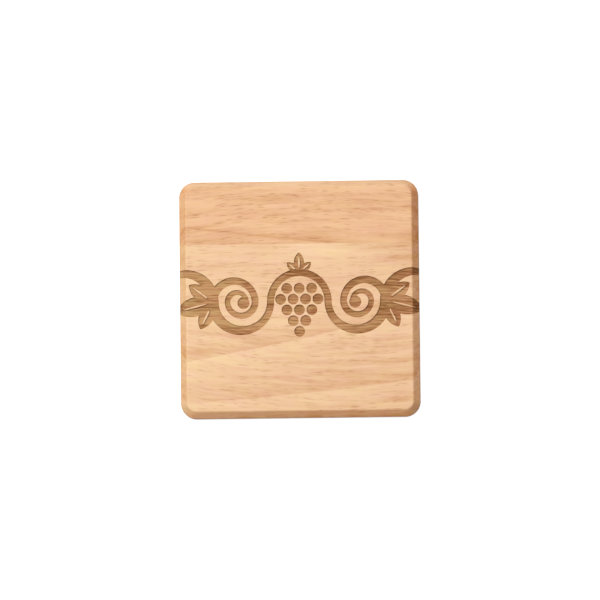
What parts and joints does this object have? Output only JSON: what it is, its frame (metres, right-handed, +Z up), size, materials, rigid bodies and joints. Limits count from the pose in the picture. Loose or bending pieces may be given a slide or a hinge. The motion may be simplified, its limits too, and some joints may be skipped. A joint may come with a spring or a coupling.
{
  "type": "wine coaster",
  "caption": "Square hardwood coaster glued up from two staves, chamfered top edge, engraved vine ornament across its middle, non-slip feet underneath.",
  "frame": {"origin": "middle of the square, in the plane that the feet stand on", "axes": "+Z up, out of the top face; +Y towards the narrow stave at the back edge; +X to the right, along the grain"},
  "size_m": [0.1, 0.099, 0.0106],
  "materials": {
    "light_wood": "satin",
    "warm_wood": "satin",
    "foot_rubber": "matte"
  },
  "bodies": {
    "root": {"wide_stave": "light_wood", "back_stave": "warm_wood", "foot_front_left": "foot_rubber", "foot_front_right": "foot_rubber", "foot_back_left": "foot_rubber", "foot_back_right": "foot_rubber"}
  },
  "joints": []
}
